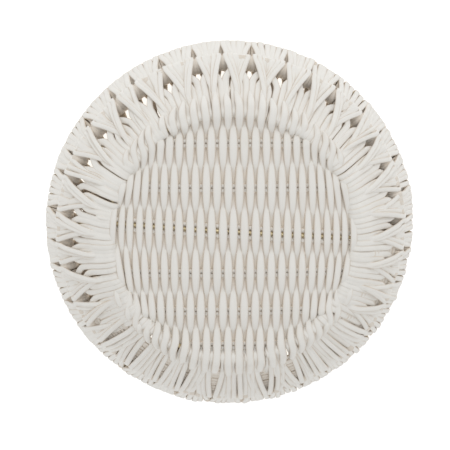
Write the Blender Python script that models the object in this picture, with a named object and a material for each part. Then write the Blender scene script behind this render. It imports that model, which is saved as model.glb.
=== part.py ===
"""Round woven cord seat pad: white cotton cord wound and woven over a brass wire frame.

The pad stands on its largest hoop. Rim windings join that lower hoop to the upper hoop, and a
sloping apron of windings climbs from the upper hoop to the raised seat hoop, where straight warp
cords cross pairs of weft cords. Units are metres, +Z is up and the origin is the middle of the base.
"""

from math import atan2, cos, degrees, pi, radians, sin, sqrt

import bmesh
import bpy
from mathutils import Vector

# Wire frame
WIRE_R = 0.0025         # hoop wire radius
RIB_R = 0.002           # rib and crossbar wire radius
LOWER_R = 0.1940        # hoop radii, to the middle of the wire
LOWER_Z = 0.0060
UPPER_R = 0.1775
UPPER_Z = 0.0325
SEAT_R = 0.1300
SEAT_Z = 0.0780
HOOP_SEGMENTS = 60
HOOP_SIDES = 8
RIB_COUNT = 12
FIRST_RIB = radians(27)
RIB_PITCH = 2 * pi / RIB_COUNT

# Cord layers
GAP = 0.0003            # clearance between neighbouring pieces
CORD_THICK = 0.0032     # one layer of flattened cord
WRAP_R = WIRE_R + GAP + CORD_THICK / 2  # middle of the cord layer around a hoop wire
OVER_R = WRAP_R + CORD_THICK + GAP      # middle of a second layer over the first
APRON_BULGE = 0.003     # how far the middle of the apron stands out from a straight slope
RIB_CLEARANCE = radians(1.1)  # how far the windings stop short of each rib
FLAT_HALF = 0.0014      # half the width of the flat strip under the lower hoop
LIP_LENGTH = 0.004      # how far the apron's lip runs down over the rim windings
SLIT_DROP = 0.003       # the rim windings' inner side ends this far below the upper hoop

# Seat panel
CROWN = 0.008           # rise of the panel's middle above its edge
PANEL_R = 0.1272
PANEL_TOP_Z = 0.0840    # top of the panel at its edge
WARP_BANDS = 12
WARP_STEPS = 8
WEFT_R = 0.00225        # weft cord radius
WEFT_Z = 0.0776         # middle of the weft cords at the panel's edge
WEFT_PITCH = 0.0049     # between the two cords of a pair
WEFT_ROWS = (0.097, 0.051, -0.038, -0.079, -0.1165)
WEFT_REACH = 0.1269     # the weft cords end inside this radius
BAR_TILT = radians(-3.8)
BAR_OFFSET = 0.0057     # the crossbar passes this far behind the middle of the panel
BAR_PITCH = 0.0052      # from the crossbar to the weft cord on each side of it
CURVE_STEPS = 12
SHARP_ANGLE = radians(40)

COTTON = (0.74, 0.71, 0.66)
BRASS = (0.80, 0.62, 0.30)


def clear_scene():
    for item in list(bpy.data.objects):
        bpy.data.objects.remove(item)


def principled(name, colour, roughness, metallic):
    material = bpy.data.materials.new(name)
    material.use_nodes = True
    shader = material.node_tree.nodes["Principled BSDF"]
    shader.inputs["Base Color"].default_value = (*colour, 1)
    shader.inputs["Roughness"].default_value = roughness
    shader.inputs["Metallic"].default_value = metallic
    return material


def cotton(name):
    return principled(name, COTTON, 0.9, 0)


def brass(name):
    return principled(name, BRASS, 0.3, 1)


def add_object(name, data, material):
    item = bpy.data.objects.new(name, data)
    bpy.context.collection.objects.link(item)
    data.materials.append(material)
    return item


def add_mesh(name, verts, faces, material):
    mesh = bpy.data.meshes.new(name)
    mesh.from_pydata(verts, [], faces)
    work = bmesh.new()
    work.from_mesh(mesh)
    bmesh.ops.recalc_face_normals(work, faces=work.faces)
    work.to_mesh(mesh)
    work.free()
    mesh.shade_smooth()
    mesh.set_sharp_from_angle(angle=SHARP_ANGLE)
    return add_object(name, mesh, material)


def wire(name, points, radius, material):
    """A straight or bent round wire or cord through the points, with closed ends."""
    curve = bpy.data.curves.new(name, "CURVE")
    curve.dimensions = "3D"
    curve.bevel_depth = radius
    curve.bevel_resolution = 1
    curve.use_fill_caps = True
    spline = curve.splines.new("POLY")
    spline.points.add(len(points) - 1)
    for target, point in zip(spline.points, points):
        target.co = (*point, 1)
    return add_object(name, curve, material)


def polar(radius, angle, z):
    return Vector((radius * cos(angle), radius * sin(angle), z))


# Hoops and ribs

def hoop(name, radius, z, material):
    sides = HOOP_SIDES
    verts = []
    faces = []
    for i in range(HOOP_SEGMENTS):
        angle = FIRST_RIB + 2 * pi * i / HOOP_SEGMENTS
        for j in range(sides):
            turn = 2 * pi * j / sides
            verts.append(polar(radius + WIRE_R * cos(turn), angle, z + WIRE_R * sin(turn)))
            here = i * sides
            after = (i + 1) % HOOP_SEGMENTS * sides
            k = (j + 1) % sides
            faces.append((here + j, after + j, after + k, here + k))
    return add_mesh(name, verts, faces, material)


def step_towards(start, goal, distance):
    return start + (goal - start).normalized() * distance


def rib_path():
    """The rib's route as (radius, height): from the lower hoop, close inside the upper hoop, and
    up the inside of the apron to the seat hoop."""
    lower = Vector((LOWER_R, LOWER_Z))
    upper = Vector((UPPER_R, UPPER_Z))
    seat = Vector((SEAT_R, SEAT_Z))
    along = (seat - lower).normalized()
    beside = upper + Vector((-along.y, along.x)) * (WIRE_R + RIB_R + 2 * GAP)
    reach = WIRE_R + GAP
    return [step_towards(lower, beside, reach), beside, step_towards(seat, beside, reach)]


def rib_angle(index):
    return FIRST_RIB + index * RIB_PITCH


def add_frame():
    hoops = {
        "lower_hoop": (LOWER_R, LOWER_Z),
        "upper_hoop": (UPPER_R, UPPER_Z),
        "seat_hoop": (SEAT_R, SEAT_Z),
    }
    for name, (radius, z) in hoops.items():
        hoop(name, radius, z, brass(name + "_brass"))
    rib_brass = brass("rib_brass")
    route = rib_path()
    for k in range(RIB_COUNT):
        points = [polar(p.x, rib_angle(k), p.y) for p in route]
        wire(f"rib_{k + 1:02d}", points, RIB_R, rib_brass)


# Windings: a sheet one cord thick, swept between neighbouring ribs

def around(centre, start_deg, stop_deg, steps, layer=WRAP_R):
    """Points of a cord layer's middle around a hoop wire, from one angle to another."""
    span = radians(stop_deg - start_deg) / steps
    radius = layer / cos(span / 2)
    points = []
    for i in range(steps + 1):
        angle = radians(start_deg) + span * i
        points.append(centre + radius * Vector((cos(angle), sin(angle))))
    return points


def sheet_outline(path):
    """The closed outline of a sheet CORD_THICK thick whose middle follows the path."""
    left = []
    right = []
    for i, point in enumerate(path):
        before = path[max(i - 1, 0)]
        after = path[min(i + 1, len(path) - 1)]
        into = (point - before).normalized() if i else (after - point).normalized()
        out = (after - point).normalized() if i < len(path) - 1 else into
        mitre = (into + out).normalized()
        stretch = CORD_THICK / 2 / mitre.dot(into)
        normal = Vector((-mitre.y, mitre.x)) * stretch
        left.append(point + normal)
        right.append(point - normal)
    return left + right[::-1]


def sector_angles(index):
    """The facet angles of the windings between one rib and the next."""
    start = rib_angle(index)
    facet = 2 * pi / HOOP_SEGMENTS
    count = HOOP_SEGMENTS // RIB_COUNT
    inner = [start + facet * i for i in range(1, count)]
    return [start + RIB_CLEARANCE, *inner, start + RIB_PITCH - RIB_CLEARANCE]


def sweep_sector(name, outline, index, material):
    angles = sector_angles(index)
    count = len(outline)
    verts = [polar(p.x, angle, p.y) for angle in angles for p in outline]
    faces = [tuple(range(count))]
    for row in range(len(angles) - 1):
        for j in range(count):
            k = (j + 1) % count
            low = row * count
            high = low + count
            faces.append((low + j, low + k, high + k, high + j))
    last = (len(angles) - 1) * count
    faces.append(tuple(last + j for j in reversed(range(count))))
    return add_mesh(name, verts, faces, material)


def outward(start, goal):
    """The unit normal on the outer side of the slope from start down to goal, and its angle."""
    slope = (goal - start).normalized()
    normal = Vector((-slope.y, slope.x))
    return normal, degrees(atan2(normal.y, normal.x))


def apron_path():
    """From the top of the seat hoop down the slope and over the rim windings on the upper hoop."""
    seat = Vector((SEAT_R, SEAT_Z))
    upper = Vector((UPPER_R, UPPER_Z))
    normal, slope_deg = outward(seat, upper)
    skirt_normal, skirt_deg = outward(upper, Vector((LOWER_R, LOWER_Z)))
    skirt_down = Vector((skirt_normal.y, -skirt_normal.x))
    middle = []
    for share in (0.25, 0.5, 0.75):
        layer = WRAP_R + (OVER_R - WRAP_R) * share
        bulge = APRON_BULGE * 4 * share * (1 - share)
        middle.append(seat.lerp(upper, share) + normal * (layer + bulge))
    lip = around(upper, slope_deg, skirt_deg, 1, OVER_R)
    hem = upper + skirt_normal * OVER_R + skirt_down * LIP_LENGTH
    return [*around(seat, 95, slope_deg, 2), *middle, *lip, hem]


def rim_path():
    """A turn around the upper and lower hoops, flat underneath, open just inside the upper hoop."""
    upper = Vector((UPPER_R, UPPER_Z))
    lower = Vector((LOWER_R, LOWER_Z))
    normal, skirt_deg = outward(upper, lower)
    base = LOWER_Z - WRAP_R
    flat = [Vector((LOWER_R + FLAT_HALF, base)), Vector((LOWER_R - FLAT_HALF, base))]
    start = upper + Vector((-WRAP_R, 0))
    top = around(upper, 150, skirt_deg, 4)
    toe = around(lower, skirt_deg, -40, 3)
    heel = lower - normal * WRAP_R
    finish = upper - normal * WRAP_R + (lower - upper).normalized() * SLIT_DROP
    return [start, *top, *toe, *flat, heel, finish]


def add_windings():
    apron = sheet_outline(apron_path())
    rim = sheet_outline(rim_path())
    apron_cotton = cotton("apron_cotton")
    rim_cotton = cotton("rim_cotton")
    for k in range(RIB_COUNT):
        sweep_sector(f"apron_winding_{k + 1:02d}", apron, k, apron_cotton)
        sweep_sector(f"rim_winding_{k + 1:02d}", rim, k, rim_cotton)


# Seat panel

def crown(x, y):
    return CROWN * (1 - (x * x + y * y) / PANEL_R**2)


def warp_band(name, left, right, material):
    """A band of neighbouring warp runs, crowned along and across, cut round at both ends."""
    columns = (left, (left + right) / 2, right)
    verts = []
    for step in range(WARP_STEPS + 1):
        along = 2 * step / WARP_STEPS - 1
        for x in columns:
            y = along * sqrt(PANEL_R**2 - x * x)
            top = PANEL_TOP_Z + crown(x, y)
            verts += [(x, y, top), (x, y, top - CORD_THICK)]
    row = 2 * len(columns)
    loop = (0, 2, 4, 5, 3, 1)
    faces = [loop]
    for step in range(WARP_STEPS):
        for j in range(row):
            a = step * row + loop[j]
            b = step * row + loop[(j + 1) % row]
            faces.append((a, b, b + row, a + row))
    faces.append(tuple(WARP_STEPS * row + i for i in reversed(loop)))
    return add_mesh(name, verts, faces, material)


def add_warp():
    material = cotton("warp_cotton")
    edge = 0.97 * PANEL_R
    width = 2 * edge / WARP_BANDS
    for k in range(WARP_BANDS):
        left = -edge + k * width + GAP / 2
        warp_band(f"warp_band_{k + 1:02d}", left, left + width - GAP, material)


def weft_point(x, y):
    return (x, y, WEFT_Z + crown(x, y))


def weft_pair(name, y, turn_side, material):
    """Two weft cords side by side, one cord turned back on itself at one side of the panel."""
    outer = abs(y) + WEFT_PITCH / 2 + WEFT_R
    reach = sqrt(WEFT_REACH**2 - outer**2) - WEFT_PITCH
    points = []
    for step in range(CURVE_STEPS + 1):
        x = turn_side * reach * (2 * step / CURVE_STEPS - 1)
        points.append(weft_point(x, y + WEFT_PITCH / 2))
    for angle in (45, 90, 135):
        x = turn_side * (reach + WEFT_PITCH / 2 * sin(radians(angle)))
        points.append(weft_point(x, y + WEFT_PITCH / 2 * cos(radians(angle))))
    back = [(p[0], y - WEFT_PITCH / 2) for p in points[CURVE_STEPS::-1]]
    points += [weft_point(*p) for p in back]
    wire(name, points, WEFT_R, material)


def straight_across(offset):
    """Points across the panel along the crossbar's direction, at an offset to one side."""
    reach = sqrt(WEFT_REACH**2 - (abs(offset) + WEFT_R) ** 2)
    along = Vector((cos(BAR_TILT), sin(BAR_TILT)))
    side = Vector((-along.y, along.x))
    points = []
    for step in range(CURVE_STEPS + 1):
        place = along * reach * (2 * step / CURVE_STEPS - 1) + side * offset
        points.append(weft_point(place.x, place.y))
    return points


def add_weft():
    material = cotton("weft_cotton")
    side = 1
    for k, y in enumerate(WEFT_ROWS):
        weft_pair(f"weft_pair_{k + 1}", y, side, material)
        side = -side
    wire("middle_weft_1", straight_across(BAR_OFFSET + BAR_PITCH), WEFT_R, material)
    wire("middle_weft_2", straight_across(BAR_OFFSET - BAR_PITCH), WEFT_R, material)
    wire("crossbar", straight_across(BAR_OFFSET), RIB_R, brass("crossbar_brass"))


clear_scene()
add_frame()
add_windings()
add_warp()
add_weft()
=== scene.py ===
from math import cos, pi, radians, sin

import bpy
import numpy as np
from mathutils import Matrix, Vector


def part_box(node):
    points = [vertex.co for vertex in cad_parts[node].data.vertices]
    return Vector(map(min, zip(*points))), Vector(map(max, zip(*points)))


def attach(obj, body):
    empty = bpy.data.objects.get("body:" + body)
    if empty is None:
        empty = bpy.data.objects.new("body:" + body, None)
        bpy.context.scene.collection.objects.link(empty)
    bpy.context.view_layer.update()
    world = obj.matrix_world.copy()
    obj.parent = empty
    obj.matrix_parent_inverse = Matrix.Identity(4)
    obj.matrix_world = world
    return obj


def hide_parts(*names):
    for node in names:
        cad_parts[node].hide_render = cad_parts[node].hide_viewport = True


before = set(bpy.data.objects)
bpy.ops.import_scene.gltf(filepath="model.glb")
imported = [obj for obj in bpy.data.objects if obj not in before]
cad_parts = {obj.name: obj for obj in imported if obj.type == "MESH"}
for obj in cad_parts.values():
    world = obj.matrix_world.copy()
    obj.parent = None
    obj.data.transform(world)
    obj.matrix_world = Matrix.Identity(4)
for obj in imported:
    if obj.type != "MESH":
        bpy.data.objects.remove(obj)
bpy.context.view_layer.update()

# Cord sizes, metres
CORD_THICK = 0.0032
WARP_WIDTH = 1.02           # width of a warp cord between and under the weft rows, in warp pitches
WARP_SWELL = 0.60           # how much wider it is over a weft row
WARP_COUNT = 49
WARP_BANDS = 12
WARP_EDGE = 0.1250          # the outermost warp runs lie this far from the middle
WARP_CLOSING = 0.087        # how much closer the warp runs are towards the sides
WARP_BEND = 0.45            # how strongly the outer warp runs bend along the seat hoop
BOTH_OVER = 0.040           # within this distance of the middle, all runs end over the hoop in front
WEAVE_DEPTH = 0.0039        # a warp run passes this far above or below a weft row
TAIL_OVER = 0.0088          # the warp's ends pass this far above the seat hoop's middle
CROWN = 0.008               # rise of the panel's middle above its edge
PANEL_R = 0.1272
BAR_TILT = radians(-3.8)    # the crossbar's turn from the weft rows
BAR_OFFSET = 0.0057
BAR_PITCH = 0.0052          # from the crossbar to the weft cord on each side of it
WEFT_R = 0.00225
WEFT_PITCH = 0.0049
WEFT_Z = 0.0776             # middle of the weft cords at the panel's edge
WEFT_DIP = 0.0052           # how far a weft cord's end goes down under the seat hoop
WEFT_CLIMB = 0.0082         # how far the one that ends over the hoop goes up
LEG_WIDTH = 0.0057          # an apron cord that belongs to a V
FRONT_LEG_WIDTH = 0.0061    # the same where the V's are at the front
LEAF_WIDTH = 0.0065         # an apron cord that fills the ring beside the seat hoop
RIM_WIDTH = 0.0068
STRAND_WIDTH = 0.0048       # the rim's sagging cords and the strands at the front
STRAND_COUNT = 9
STRANDS_FROM = 0.014        # the first strand's distance down the slope from the seat hoop
STRANDS_TO = 0.056
STRAND_REACH = radians(15.6)
CAP = 0.002                 # length of a cord's round end
WARP_CAP = 0.0026

RIB_COUNT = 12
FIRST_RIB = radians(27)
RIB_R = 0.002
RIB_CLEAR = 0.0006          # from a rib's side to the upper hoop
JOINT_DEPTH = 0.0006        # how deep a rib's end goes into a hoop
FRONT_V = -0.62             # V's whose middle has a smaller sine than this are made as at the front
FRONT_BAY = -0.3            # the same limit for the bays that have strands
OPENINGS = (-4.0, 6.6, 15.0)                # openings in the windings, in degrees from each rib
OPENING_SIZES = (0.0058, 0.0032, 0.0036)    # half of each opening's width beside the upper hoop

SIDES = 12                  # sides of a cord's section
rng = np.random.default_rng(7)


# What the frame says

def ring_of(node):
    """A hoop's radius, height and wire radius."""
    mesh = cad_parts[node].data
    co = np.array([v.co for v in mesh.vertices])
    reach = np.hypot(co[:, 0], co[:, 1])
    wire = (co[:, 2].max() - co[:, 2].min()) / 2
    return (reach.max() + reach.min()) / 2, (co[:, 2].max() + co[:, 2].min()) / 2, wire


SEAT_R, SEAT_Z, WIRE_R = ring_of("seat_hoop")
UPPER_R, UPPER_Z, _ = ring_of("upper_hoop")
LOWER_R, LOWER_Z, _ = ring_of("lower_hoop")
SEAT = np.array([SEAT_R, SEAT_Z])
UPPER = np.array([UPPER_R, UPPER_Z])
LOWER = np.array([LOWER_R, LOWER_Z])
WEFT_NODES = [f"weft_pair_{k}" for k in range(1, 6)]
WEFT_Y = [(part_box(n)[0].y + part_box(n)[1].y) / 2 for n in WEFT_NODES]
FIRST_LAYER = WIRE_R + CORD_THICK / 2 + 0.0001
SECOND_LAYER = FIRST_LAYER + CORD_THICK


# Small maths

def smooth(low, high, x):
    t = np.clip((np.asarray(x, float) - low) / (high - low), 0, 1)
    return t * t * (3 - 2 * t)


def unit(v):
    v = np.asarray(v, float)
    return v / np.maximum(np.linalg.norm(v, axis=-1, keepdims=True), 1e-12)


def crown(x, y):
    return CROWN * (1 - (x * x + y * y) / PANEL_R**2)


def weft_z(x, y):
    return WEFT_Z + crown(x, y)


def round_place(radius, angle, z):
    """Points from cylindrical coordinates, as an n by 3 array."""
    radius, angle, z = np.broadcast_arrays(radius, angle, z)
    return np.stack([radius * np.cos(angle), radius * np.sin(angle), z], -1)


def resample(points, values, step, cap=0.0):
    """Points and values at even steps along an open path, closer together in its round ends."""
    lengths = np.r_[0, np.cumsum(np.linalg.norm(np.diff(points, axis=0), axis=1))]
    total = lengths[-1]
    if cap:
        ends = cap * np.array([0, 0.06, 0.22, 0.5])
        middle = np.linspace(cap, total - cap, max(3, int(total / step)))
        at = np.r_[ends, middle, total - ends[::-1]]
    else:
        at = np.linspace(0, total, max(3, int(total / step)))
    out = np.stack([np.interp(at, lengths, points[:, i]) for i in range(3)], -1)
    return out, [np.interp(at, lengths, v) for v in values]


def eased(path):
    """The path with its corners eased and its two ends kept."""
    for _ in range(3):
        path[1:-1] = (path[:-2] + 2 * path[1:-1] + path[2:]) / 4
    return path


# Cord meshes

class Weave:
    """Collects many cords as one mesh, with a cord UV map in metres and two vertex values: painted shade
    and a random value per cord.
    """

    def __init__(self):
        self.verts = []
        self.faces = []
        self.uvs = []
        self.painted_shades = []
        self.runs = []
        self.count = 0

    def add(self, path, normal, width, thick, closed=False, cap=0.0, square=0.8, sides=SIDES, shade=0.0):
        """Sweeps a flattened cord section along the path; normal points out of its flat face. The
        section is an ellipse where square is 1, and boxier below that."""
        n = len(path)
        width = np.broadcast_to(width, n).astype(float)
        thick = np.broadcast_to(thick, n).astype(float)
        if closed:
            tangent = unit(np.roll(path, -1, 0) - np.roll(path, 1, 0))
        else:
            tangent = unit(np.gradient(path, axis=0))
        side = unit(np.cross(tangent, normal))
        up = np.cross(side, tangent)
        steps = np.linalg.norm(np.roll(path, -1, 0) - path, axis=1)
        lengths = np.r_[0, np.cumsum(steps)]
        if cap:
            near = np.minimum(lengths[:n], lengths[n - 1] - lengths[:n]) / cap
            scale = np.sqrt(np.clip(1 - (1 - np.clip(near, 0, 1)) ** 2, 0.0004, 1))
            width = width * scale
            thick = thick * scale
        turn = 2 * pi * np.arange(sides) / sides
        across = np.sign(np.cos(turn)) * np.abs(np.cos(turn)) ** square
        above = np.sign(np.sin(turn)) * np.abs(np.sin(turn)) ** square
        rings = (path[:, None] + side[:, None] * (width[:, None] / 2 * across)[..., None]
                 + up[:, None] * (thick[:, None] / 2 * above)[..., None])
        self.verts.append(rings.reshape(-1, 3))
        # Painted shade: a vertex value rises from 0 on the flat face to 1 on the underside, so the
        # material darkens and warms each cord's sides and underside; shade sets a least amount of painted
        # shade along the cord.
        painted_shade = np.tile(smooth(0.97, -0.25, np.sin(turn)), n)
        self.painted_shades.append(np.maximum(painted_shade, np.repeat(np.broadcast_to(shade, n), sides)))
        self.runs.append(np.full(n * sides, rng.random()))
        last = n if closed else n - 1
        i = np.repeat(np.arange(last), sides)
        k = np.tile(np.arange(sides), last)
        j = (i + 1) % n
        m = (k + 1) % sides
        quads = np.stack([i * sides + k, j * sides + k, j * sides + m, i * sides + m], -1)
        self.faces.extend((quads + self.count).tolist())
        girth = 2.4 * (width.mean() + thick.mean()) / 2
        u0 = k / sides * girth
        u1 = (k + 1) / sides * girth
        v0 = lengths[i]
        v1 = lengths[i + 1]
        start = rng.random() * 3
        uv = np.stack([u0, v0, u0, v1, u1, v1, u1, v0], -1).reshape(-1, 4, 2) + [0, start]
        self.uvs.append(uv.reshape(-1, 2))
        if not closed:
            ring = list(range(self.count, self.count + sides))
            end = list(range(self.count + (n - 1) * sides, self.count + n * sides))
            self.faces.append(ring)
            self.faces.append(end[::-1])
            self.uvs.append(np.full((2 * sides, 2), start))
        self.count += n * sides

    def make(self, name, material):
        mesh = bpy.data.meshes.new(name)
        mesh.from_pydata(np.concatenate(self.verts).tolist(), [], self.faces)
        layer = mesh.uv_layers.new(name="cord")
        layer.data.foreach_set("uv", np.concatenate(self.uvs).astype(np.float32).ravel())
        for key, values in (("painted_shade", self.painted_shades), ("run", self.runs)):
            attribute = mesh.attributes.new(key, "FLOAT", "POINT")
            attribute.data.foreach_set("value", np.concatenate(values).astype(np.float32))
        mesh.materials.append(material)
        mesh.shade_smooth()
        item = bpy.data.objects.new(name, mesh)
        bpy.context.scene.collection.objects.link(item)
        return item


def place(item, slot, *nodes):
    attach(item, "root")
    if nodes:
        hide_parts(*nodes)


# Materials

class Nodes:
    """A small helper that adds and links shader nodes."""

    def __init__(self, name):
        self.material = bpy.data.materials.new(name)
        self.material.use_nodes = True
        self.tree = self.material.node_tree
        self.shader = self.tree.nodes["Principled BSDF"]

    def link(self, value, socket):
        if isinstance(value, bpy.types.NodeSocket):
            self.tree.links.new(value, socket)
        elif value is not None:
            socket.default_value = value

    def maths(self, operation, a, b=None, c=None):
        node = self.tree.nodes.new("ShaderNodeMath")
        node.operation = operation
        for value, socket in zip((a, b, c), node.inputs):
            self.link(value, socket)
        return node.outputs[0]

    def attribute(self, name):
        node = self.tree.nodes.new("ShaderNodeAttribute")
        node.attribute_name = name
        return node.outputs["Fac"]

    def vector(self, x, y, z=0.0):
        node = self.tree.nodes.new("ShaderNodeCombineXYZ")
        for value, socket in zip((x, y, z), node.inputs):
            self.link(value, socket)
        return node.outputs[0]

    def noise(self, vector, scale, detail=2.0, rough=0.5):
        node = self.tree.nodes.new("ShaderNodeTexNoise")
        self.link(vector, node.inputs["Vector"])
        node.inputs["Scale"].default_value = scale
        node.inputs["Detail"].default_value = detail
        node.inputs["Roughness"].default_value = rough
        return node.outputs["Fac"]

    def mix(self, factor, a, b):
        node = self.tree.nodes.new("ShaderNodeMix")
        node.data_type = "RGBA"
        self.link(factor, node.inputs[0])
        self.link(a, node.inputs[6])
        self.link(b, node.inputs[7])
        return node.outputs[2]

    def bump(self, height, distance, strength=1.0):
        node = self.tree.nodes.new("ShaderNodeBump")
        node.inputs["Strength"].default_value = strength
        node.inputs["Distance"].default_value = distance
        self.link(height, node.inputs["Height"])
        self.link(node.outputs[0], self.shader.inputs["Normal"])


# The cord's lit colour, and the warm darker colour that serves both for painted shade and for random tone
# changes.
COTTON_LIGHT = (0.87, 0.852, 0.81, 1)
COTTON_SHADE = (0.68, 0.58, 0.465, 1)
BRASS_BRIGHT = (0.72, 0.63, 0.42, 1)
BRASS_DULL = (0.58, 0.49, 0.31, 1)
STRAND_SCALE = (1150.0, 38.0)     # texture scales around and along a cord, per metre
PLY_SCALE = (2600.0, 2300.0)
FIBRE_SCALE = (4200.0, 1500.0)


def cotton_material():
    """Soft flattened cotton cord: strands along it, a fine twist across them, random tone, and painted
    warm shade on each cord's underside and in the hollows.
    """
    n = Nodes("cotton_cord")
    uv = n.tree.nodes.new("ShaderNodeUVMap")
    uv.uv_map = "cord"
    parts = n.tree.nodes.new("ShaderNodeSeparateXYZ")
    n.link(uv.outputs[0], parts.inputs[0])
    around = parts.outputs[0]
    along = parts.outputs[1]
    run = n.attribute("run")
    painted_shade = n.attribute("painted_shade")
    seed = n.maths("MULTIPLY", run, 40.0)
    strand_place = n.vector(n.maths("MULTIPLY", around, STRAND_SCALE[0]),
                            n.maths("MULTIPLY", along, STRAND_SCALE[1]), seed)
    strands = n.noise(strand_place, 1.0, 2.0, 0.55)
    ply = n.maths("SINE", n.maths("ADD", n.maths("MULTIPLY", around, PLY_SCALE[0]),
                                  n.maths("MULTIPLY", along, PLY_SCALE[1])))
    fibre_place = n.vector(n.maths("MULTIPLY", around, FIBRE_SCALE[0]),
                           n.maths("MULTIPLY", along, FIBRE_SCALE[1]), seed)
    fibres = n.noise(fibre_place, 1.0, 3.0, 0.6)
    blotch = n.noise(n.vector(around, along, seed), 60.0, 2.0)
    height = n.maths("ADD", n.maths("MULTIPLY", strands, 0.62),
                     n.maths("ADD", n.maths("MULTIPLY", ply, 0.07), n.maths("MULTIPLY", fibres, 0.22)))
    n.bump(height, 0.0005, 0.75)
    # Painted shade: the vertex value for each cord's underside and hollows mixes towards the warm darker
    # colour. Random tone from the strands, the blotches and each cord's run value is added to it.
    tone_and_painted_shade = n.maths("MULTIPLY_ADD", n.maths("SUBTRACT", 0.5, strands), 0.35, painted_shade)
    tone_and_painted_shade = n.maths("ADD", tone_and_painted_shade, n.maths("MULTIPLY", n.maths("SUBTRACT", blotch, 0.5), 0.16))
    tone_and_painted_shade = n.maths("ADD", tone_and_painted_shade, n.maths("MULTIPLY", n.maths("SUBTRACT", run, 0.5), 0.07))
    tone_and_painted_shade = n.maths("MINIMUM", n.maths("MAXIMUM", tone_and_painted_shade, 0.0), 1.0)
    n.link(n.mix(tone_and_painted_shade, COTTON_LIGHT, COTTON_SHADE), n.shader.inputs["Base Color"])
    n.link(n.maths("MULTIPLY_ADD", fibres, 0.16, 0.8), n.shader.inputs["Roughness"])
    n.shader.inputs["Sheen Weight"].default_value = 0.1
    n.shader.inputs["Sheen Roughness"].default_value = 0.5
    n.shader.inputs["Specular IOR Level"].default_value = 0.25
    return n.material


def brass_material():
    """Satin brass wire with fine drawing marks and a little uneven tarnish."""
    n = Nodes("brass_wire")
    place_node = n.tree.nodes.new("ShaderNodeTexCoord")
    where = place_node.outputs["Object"]
    tarnish = n.noise(where, 90.0, 3.0)
    marks = n.noise(where, 900.0, 2.0)
    n.link(n.mix(tarnish, BRASS_BRIGHT, BRASS_DULL), n.shader.inputs["Base Color"])
    n.link(n.maths("MULTIPLY_ADD", tarnish, 0.25, 0.35), n.shader.inputs["Roughness"])
    n.shader.inputs["Metallic"].default_value = 1
    n.bump(marks, 0.0002, 0.25)
    return n.material


# Wire frame

def wire_piece(node, path, normal, radius, material, closed=False):
    weave = Weave()
    cap = 0.0 if closed else radius * 0.6
    if not closed:
        path, _ = resample(path, [], step=0.004, cap=cap)
    weave.add(path, normal, 2 * radius, 2 * radius, closed, cap, square=1.0)
    item = weave.make(node + "_wire", material)
    place(item, "brass_wire", node)


def make_frame(material):
    rounds = np.arange(180) * 2 * pi / 180
    for node, (radius, z) in {"seat_hoop": SEAT, "upper_hoop": UPPER, "lower_hoop": LOWER}.items():
        wire_piece(node, round_place(radius, rounds, z), np.array([0, 0, 1.0]), WIRE_R, material, True)
    along = unit(SEAT - LOWER)
    beside = UPPER + np.array([-along[1], along[0]]) * (WIRE_R + RIB_R + RIB_CLEAR)
    reach = WIRE_R - JOINT_DEPTH
    start = LOWER + unit(beside - LOWER) * reach
    finish = SEAT + unit(beside - SEAT) * reach
    share = np.linspace(0, 1, 9)[:, None]
    low = start + (beside - start) * share
    high = beside + (finish - beside) * share
    route = np.concatenate([low, high[1:]])
    for k in range(RIB_COUNT):
        angle = FIRST_RIB + k * 2 * pi / RIB_COUNT
        path = round_place(route[:, 0], angle, route[:, 1])
        wire_piece(f"rib_{k + 1:02d}", path, np.array([-sin(angle), cos(angle), 0]), RIB_R, material)
    reach = np.linspace(-SEAT_R + RIB_R, SEAT_R - RIB_R, 60)
    x = reach * cos(BAR_TILT) - BAR_OFFSET * sin(BAR_TILT)
    y = reach * sin(BAR_TILT) + BAR_OFFSET * cos(BAR_TILT)
    bar = np.stack([x, y, weft_z(x, y)], -1)
    wire_piece("crossbar", bar, np.array([0, 0, 1.0]), RIB_R, material)


def slope_point(d, over):
    """Radius and height a distance d down the apron's slope from the seat hoop, over it."""
    down = unit(UPPER - SEAT)
    out = np.array([-down[1], down[0]])
    return SEAT + down * d + out * over


# Windings: closed turns of cord around two hoops

def belt(inner, inner_layer, outer, outer_layer, run_steps, turn_steps):
    """A turn around two hoops in the radius and height plane. Gives the points, their outward
    directions and how far each is towards the inner hoop, from 0 to 1."""
    down = unit(outer - inner)
    out = np.array([-down[1], down[0]])
    share = np.linspace(0, 1, run_steps + 1)[:-1]
    steps = share[:, None]
    upper_run = outer + out * outer_layer + (inner + out * inner_layer - outer - out * outer_layer) * steps
    lower_run = inner - out * inner_layer + (outer - out * outer_layer - inner + out * inner_layer) * steps
    turn = pi * np.linspace(0, 1, turn_steps + 1)[:-1]
    near_dir = out * np.cos(turn)[:, None] - down * np.sin(turn)[:, None]
    far_dir = -out * np.cos(turn)[:, None] + down * np.sin(turn)[:, None]
    near_turn = inner + near_dir * inner_layer
    far_turn = outer + far_dir * outer_layer
    points = np.concatenate([upper_run, near_turn, lower_run, far_turn])
    fill = np.ones(run_steps)[:, None]
    outward = np.concatenate([out * fill, near_dir, -out * fill, far_dir])
    progress = np.concatenate([share, np.ones(turn_steps), 1 - share, np.zeros(turn_steps)])
    return points, outward, progress


def winding(weave, section, angles, lift, width, thick, shade=0.0, roll=0.0):
    """One closed turn of cord: its angle around the pad and its lift vary along the section. A
    rolled cord lies with one edge higher than the other, like a roof tile."""
    points, outward, _ = section
    radius = points[:, 0] + outward[:, 0] * lift
    height = np.maximum(points[:, 1] + outward[:, 1] * lift, thick / 2)
    path = round_place(radius, angles, height)
    normal = round_place(outward[:, 0], angles, outward[:, 1])
    sideways = round_place(np.ones(len(path)), angles + pi / 2, 0)
    normal = unit(normal + sideways * np.tan(np.broadcast_to(roll, len(path)))[:, None])
    # shade sets a least amount of painted shade all along this cord.
    weave.add(path, normal, width, thick, closed=True, square=0.74, shade=shade)


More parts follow.
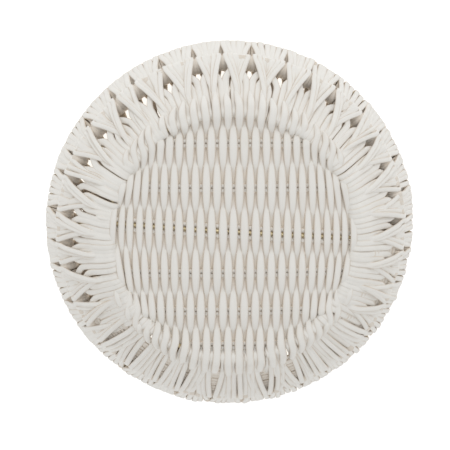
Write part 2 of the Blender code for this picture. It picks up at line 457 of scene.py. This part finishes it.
def crossing(x, power=1.35):
    """How much of a sideways crossing is done: almost straight, with a soft end."""
    return 1 - (1 - np.clip(x, 0, 1)) ** power


APRON = belt(SEAT, FIRST_LAYER, UPPER, SECOND_LAYER, 20, 8)
RIM = belt(UPPER, FIRST_LAYER, LOWER, FIRST_LAYER, 9, 8)


def apron_leg(weave, origin, way, span, raised):
    """Four cords that start beside one opening and cross towards the next. Two lie on top and
    meet the other leg in a V, and two pass under it and fill the ring beside the seat hoop. At
    the front there are three cords, and all of them belong to the V."""
    _, _, progress = APRON
    middle = origin + way * span / 2
    front = sin(middle) < FRONT_V
    facing = abs(sin(middle)) ** 2
    tight = 0.5 + 0.5 * cos(origin + radians(50))
    half_a = span / 2 * UPPER_R
    half_s = span / 2 * SEAT_R
    at_upper = [0.0036 - 0.0013 * tight, 0.0087, min(0.0134, half_a - 0.0022), half_a - 0.0006]
    v_point = span / 2 + radians(0.3)
    leaf_points = [span - min(0.0081, half_s - 0.0020) / SEAT_R, span - 0.0027 / SEAT_R]
    finishes = [v_point, v_point] + leaf_points
    leg_end = 0.80 + 0.05 * rng.normal()
    leaf_end = 0.48 - 0.16 * tight + 0.05 * rng.normal()
    windows = [(0, leg_end), (0, 0.62), (0.18, leaf_end + 0.14), (0.12 - 0.1 * tight, leaf_end)]
    if front:
        shift = 0.0018 * rng.normal()
        finishes = [span - (half_s * part + shift) / SEAT_R for part in (1.62, 1.26, 0.9)]
        windows = [(0, leg_end), (0, leg_end - 0.04), (0, leg_end - 0.1)]
    for k, finish in enumerate(finishes):
        begin = at_upper[k] / UPPER_R
        leg = k < 2 or front
        low, high = windows[k]
        done = crossing((progress - low) / (high - low), 1.2) if leg else smooth(low, high, progress)
        angles = origin + way * (begin + (finish - begin) * done)
        angles = angles + radians(0.18) * rng.normal() + radians(0.25) * rng.normal() * progress
        top_now = (0.95 + 0.3 * raised, 0.7 + 0.3 * raised, 0.7 if front else 0.2, 0.0)[k]
        top_then = (0.25, 0.35, 0.7, 0.8)[k] * (1 - 0.65 * facing)
        change = smooth(0.6, 0.88, progress)
        layer = top_now * (0.35 + 0.65 * smooth(0.0, 0.2, progress)) * (1 - change) + top_then * change
        lift = CORD_THICK * layer + 0.0003 * rng.normal()
        width = (LEG_WIDTH if leg else LEAF_WIDTH) if not front else FRONT_LEG_WIDTH
        width = width * (1 + 0.05 * rng.normal())
        if not leg:
            width = width * (1 + 0.28 * (1 - progress))
        roll = -way * (0.24 if leg else 0.1) * smooth(0, 0.2, progress) + 0.06 * rng.normal()
        winding(weave, APRON, angles, lift, width, CORD_THICK * (1.0 + 0.06 * rng.normal()), 0.0, roll)


def rim_leg(weave, origin, way, span, opening):
    """Three cords around the lower and upper hoops, which leave an opening between the hoops, and
    one cord that sags inwards across the opening."""
    _, _, progress = RIM
    half = span / 2
    clear = np.clip((progress - 0.1) / 0.55, 0, 1) * (1 - smooth(0.8, 1, progress))
    loose = 0.5 + 0.5 * cos(origin + radians(35))
    spread = opening * (1.0 - 0.5 * loose) / UPPER_R * clear
    for k in range(3):
        angles = origin + way * (spread + (half - spread) * (k + 0.5) / 3) + radians(0.15) * rng.normal()
        layer = (0.4 if k == 0 else 0.1) * smooth(0.15, 0.5, progress) * (1 - smooth(0.6, 1, progress))
        layer = layer + 1.05 * smooth(0.8, 1, progress)
        lift = CORD_THICK * layer + (0.0002 + 0.0005 * loose) * rng.normal()
        width = RIM_WIDTH - 0.0009 * loose + 0.0002 * rng.normal()
        # Painted shade on the turn over the upper hoop, where the cords lie in the pit under the apron.
        shade = 0.5 * smooth(0.8, 1, progress)
        winding(weave, RIM, angles, lift, width, CORD_THICK * (1.0 + 0.2 * loose), shade)
    angle = origin + way * opening / UPPER_R * 0.42
    # The sagging cord gets painted shade all along.
    winding(weave, RIM, angle, -CORD_THICK * 1.4 * clear - 0.0004, STRAND_WIDTH, CORD_THICK * 0.9, 0.6)


def front_strands(weave, middle):
    """Strands that run round under the V's of one bay at the front."""
    for d in np.linspace(STRANDS_FROM, STRANDS_TO, STRAND_COUNT):
        angles = middle + STRAND_REACH * np.linspace(-1, 1, 16)
        r, z = slope_point(d + 0.0006 * rng.normal(), FIRST_LAYER + CORD_THICK * 0.35)
        path = round_place(r, angles, z)
        normal = round_place(0.7, angles, 0.7)
        # Painted shade on the strands, which lie under the V's.
        weave.add(path, normal, STRAND_WIDTH, CORD_THICK, cap=CAP, sides=10, shade=0.4)


def make_windings(material):
    openings = []
    for bay in range(RIB_COUNT):
        rib = FIRST_RIB + bay * 2 * pi / RIB_COUNT
        openings += [rib + radians(v + 0.7 * rng.normal()) for v in OPENINGS]
    sizes = np.tile(OPENING_SIZES, RIB_COUNT) * (1 + 0.12 * rng.normal(size=len(openings)))
    for bay in range(RIB_COUNT):
        apron = Weave()
        rim = Weave()
        for i in range(3 * bay, 3 * bay + 3):
            after = (i + 1) % len(openings)
            left = openings[i]
            span = (openings[after] - left) % (2 * pi)
            raised = 1 if rng.random() < 0.5 else -1
            apron_leg(apron, left, 1, span, raised)
            apron_leg(apron, left + span, -1, span, -raised)
            rim_leg(rim, left, 1, span, sizes[i])
            rim_leg(rim, left + span, -1, span, sizes[after])
        middle = FIRST_RIB + (bay + 0.5) * 2 * pi / RIB_COUNT
        if sin(middle) < FRONT_BAY:
            front_strands(apron, middle)
        item = apron.make(f"apron_cords_{bay + 1:02d}", material)
        place(item, "cotton_cord", f"apron_winding_{bay + 1:02d}")
        item = rim.make(f"rim_cords_{bay + 1:02d}", material)
        place(item, "cotton_cord", f"rim_winding_{bay + 1:02d}")


# Seat panel

def warp_x(j):
    u = (j - (WARP_COUNT - 1) / 2) / ((WARP_COUNT - 1) / 2)
    return WARP_EDGE * ((1 + WARP_CLOSING) * u - WARP_CLOSING * u**3)


def bent_x(x, y):
    return x * (1 - WARP_BEND * (y / SEAT_R) ** 2 * (x / SEAT_R) ** 4)


def meet_hoop(x, way, reach):
    """The distance from the middle at which a bent warp run meets a circle inside the seat hoop."""
    y = np.linspace(0, 0.14, 561)
    outside = np.hypot(bent_x(x, y), y) > reach
    return way * y[np.argmax(outside)]


ROWS = sorted(WEFT_Y + [BAR_OFFSET], reverse=True)


def warp_keys(x, family):
    """The places where a run is above (1) or below (-1) the weft, from its top end down."""
    top = meet_hoop(x, 1, SEAT_R - 0.001)
    bottom = meet_hoop(x, -1, SEAT_R - 0.001)
    keys = []
    for t, y in enumerate(ROWS):
        if y == BAR_OFFSET:
            y += x * np.tan(BAR_TILT)
        if bottom + 0.006 < y < top - 0.007:
            keys.append((y, 1 if t % 2 == family else -1))
    first = keys[0][1] if keys else 1
    last = keys[-1][1] if keys else -1
    top_sign = -first
    bottom_sign = 1 if abs(x) < BOTH_OVER else -last
    return [(top, top_sign)] + keys + [(bottom, bottom_sign)]


def warp_tail(angle, pitch, held):
    """The end of a warp run that lies over the seat hoop and on the apron, from the hoop outwards.
    A held run is the shorter and the higher one where all the runs end side by side."""
    top = angle > 0
    facing = abs(sin(angle)) ** (2.2 if top else 3.4)
    reach = 0.017 if top else (0.019 if held else 0.034)
    length = (0.0035 + reach * facing) * (1 + 0.07 * rng.normal())
    low = -0.0005 if top else (0.0 if held else 0.0026)
    d = np.linspace(0.001, length, 18)
    share = d / length
    over = TAIL_OVER - low - 0.002 * share**3
    outs = np.array([slope_point(v, h) for v, h in zip(d, over)])
    lean = (np.sign(angle) * pi / 2 - angle) * 0.1 + radians(0.6) * rng.normal()
    tail = round_place(outs[:, 0], angle + lean * share, outs[:, 1])
    if top:
        width = 1.5 - 1.0 * share**2.2
    elif held:
        width = 1.5 - 0.3 * share**3
    else:
        width = 0.75 + 0.7 * smooth(0.35, 0.6, share) - 0.6 * share**5
    return tail, pitch * width


def warp_run(weave, j):
    x = warp_x(j) + 0.0002 * rng.normal()
    keys = warp_keys(x, j % 2)
    ys = np.linspace(keys[0][0], keys[-1][0], 160)
    sign = np.zeros_like(ys)
    for (y0, s0), (y1, s1) in zip(keys[:-1], keys[1:]):
        inside = (ys <= y0) & (ys >= y1)
        share = (y0 - ys[inside]) / (y0 - y1)
        turn = np.cos(pi * share)
        turn = np.sign(turn) * np.abs(turn) ** 0.7
        sign[inside] = s0 * turn if s0 != s1 else s0 - 0.25 * s0 * np.sin(pi * share)
    xs = bent_x(x, ys)
    reach = np.hypot(xs, ys)
    near_hoop = smooth(0.016, 0.0, SEAT_R - reach)
    rise = SEAT_Z + TAIL_OVER - weft_z(xs, ys)
    height = WEAVE_DEPTH * sign
    height = np.where(sign > 0, height + (rise - WEAVE_DEPTH) * near_hoop * sign, height)
    drift = np.zeros_like(ys)
    for y, s in keys:
        if s < 0:
            amount = 0.0007 if rng.random() < 0.3 else 0.0002
            drift += amount * rng.normal() * smooth(0.02, 0, abs(ys - y))
    path = np.stack([xs + drift, ys, weft_z(xs, ys) + height], -1)
    before = max(j - 1, 0)
    after = min(j + 1, WARP_COUNT - 1)
    pitch = (warp_x(after) - warp_x(before)) / (after - before)
    width = pitch * (WARP_WIDTH + WARP_SWELL * np.maximum(sign, 0))
    angles = np.arctan2(path[:, 1], path[:, 0])
    keep = np.ones(len(ys), bool)
    parts = []
    for end, other in ((0, 1), (-1, -2)):
        if keys[end][1] > 0:
            held = keys[other][1] > 0 or abs(x) > BOTH_OVER
            tail, tail_width = warp_tail(angles[end], pitch, held)
            parts.append((tail[::-1], tail_width[::-1]) if end == 0 else (tail, tail_width))
            keep &= (reach < SEAT_R - 0.004) | (np.sign(ys) != np.sign(ys[end]))
    starts_over = keys[0][1] > 0
    parts.insert(1 if starts_over else 0, (path[keep], width[keep]))
    path = np.concatenate([p for p, _ in parts])
    width = np.concatenate([w for _, w in parts])
    path, (width,) = resample(path, [width], step=0.0021, cap=WARP_CAP)
    path = eased(path)
    normal = np.tile([0, 0, 1.0], (len(path), 1))
    width = width * (1 + 0.02 * rng.normal())
    weave.add(path, normal, width, CORD_THICK, cap=WARP_CAP, square=0.85)


def make_warp(material):
    edge = max(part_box(f"warp_band_{WARP_BANDS:02d}")[1].x, WARP_EDGE) + 0.001
    runs = [[] for _ in range(WARP_BANDS)]
    for j in range(WARP_COUNT):
        band = int((warp_x(j) + edge) / (2 * edge) * WARP_BANDS)
        runs[min(max(band, 0), WARP_BANDS - 1)].append(j)
    for band, members in enumerate(runs):
        weave = Weave()
        for j in members:
            warp_run(weave, j)
        item = weave.make(f"warp_cords_{band + 1:02d}", material)
        place(item, "cotton_cord", f"warp_band_{band + 1:02d}")


def weft_path(offset_y, tilt=0.0, left_over=False):
    """A weft cord across the panel; it dips under the seat hoop, or climbs over it on the left."""
    reach = np.sqrt((SEAT_R + 0.002) ** 2 - offset_y**2)
    s = np.linspace(-reach, reach, 90)
    x = s * cos(tilt) - offset_y * sin(tilt)
    y = s * sin(tilt) + offset_y * cos(tilt)
    near = smooth(SEAT_R - 0.012, SEAT_R + 0.001, np.hypot(x, y))
    z = weft_z(x, y) - WEFT_DIP * near
    if left_over:
        z = np.where(x < 0, weft_z(x, y) + WEFT_CLIMB * near, z)
    path = np.stack([x, y, z], -1)
    if left_over:
        d = np.linspace(0.002, 0.013, 8)
        outs = np.array([slope_point(v, 0.0078 - 0.003 * (v / 0.013) ** 3) for v in d])
        angle = np.arctan2(y[0], x[0])
        tail = round_place(outs[:, 0], angle, outs[:, 1])
        path = np.concatenate([tail[::-1], path])
    return path


def weft_cord(weave, path):
    path, _ = resample(path, [], step=0.003, cap=CAP)
    path = eased(path)
    width = 2 * WEFT_R * 1.06
    thick = 2 * WEFT_R * 0.94
    weave.add(path, np.array([0, 0, 1.0]), width, thick, cap=CAP, square=0.9, sides=10)


def make_weft(material):
    for node, y in zip(WEFT_NODES, WEFT_Y):
        weave = Weave()
        for offset in (-WEFT_PITCH / 2, WEFT_PITCH / 2):
            weft_cord(weave, weft_path(y + offset))
        place(weave.make(node + "_cords", material), "cotton_cord", node)
    for node, offset in (("middle_weft_1", BAR_PITCH), ("middle_weft_2", -BAR_PITCH)):
        weave = Weave()
        weft_cord(weave, weft_path(BAR_OFFSET + offset, BAR_TILT, node == "middle_weft_1"))
        place(weave.make(node + "_cord", material), "cotton_cord", node)


# Stage, light and camera

def make_floor():
    bpy.ops.mesh.primitive_plane_add(size=8)
    floor = bpy.context.object
    floor.name = "floor"
    n = Nodes("pale_floor")
    n.shader.inputs["Base Color"].default_value = (0.9, 0.9, 0.9, 1)
    n.shader.inputs["Roughness"].default_value = 1
    n.shader.inputs["Emission Color"].default_value = (1, 1, 1, 1)
    n.shader.inputs["Emission Strength"].default_value = 0.45
    floor.data.materials.append(n.material)


def area_light(name, location, size, power, colour=(1, 1, 1), target=(0, 0, 0.05)):
    light = bpy.data.lights.new(name, "AREA")
    light.shape = "DISK"
    light.size = size
    light.energy = power
    light.color = colour
    item = bpy.data.objects.new(name, light)
    item.location = location
    item.rotation_euler = (Vector(target) - Vector(location)).to_track_quat("-Z", "Y").to_euler()
    bpy.context.scene.collection.objects.link(item)


def make_light():
    world = bpy.data.worlds.new("studio")
    world.use_nodes = True
    world.node_tree.nodes["Background"].inputs[0].default_value = (1, 1, 1, 1)
    world.node_tree.nodes["Background"].inputs[1].default_value = 0.62
    bpy.context.scene.world = world
    area_light("key", (0.15, 1.6, 1.5), 1.0, 6.8)
    area_light("top", (0.0, 0.1, 2.4), 1.0, 6.5)
    area_light("light_table", (0, 0, 0.002), 0.34, 0.1, (1, 0.96, 0.9), (0, 0, 1))


def make_camera():
    """Almost straight down from 1.65 m, tipped a little towards +Y and -X."""
    camera = bpy.data.cameras.new("camera")
    camera.sensor_width = 36
    camera.lens = 121.0
    camera.clip_start = 0.1
    item = bpy.data.objects.new("camera", camera)
    target = Vector((-0.0055, -0.0008, 0))
    back = Vector((-sin(radians(2.2)), sin(radians(9)), 0))
    back.z = (1 - back.x**2 - back.y**2) ** 0.5
    right = Vector((0, 1, 0)).cross(back).normalized()
    up = back.cross(right)
    turn = Matrix((right, up, back)).transposed().to_4x4()
    item.matrix_world = Matrix.Translation(target + back * 1.65) @ turn
    bpy.context.scene.collection.objects.link(item)
    bpy.context.scene.camera = item


def main():
    bpy.context.scene.view_settings.view_transform = "Standard"
    make_camera()
    cotton = cotton_material()
    brass = brass_material()
    make_frame(brass)
    make_windings(cotton)
    make_warp(cotton)
    make_weft(cotton)
    make_floor()
    make_light()


main()
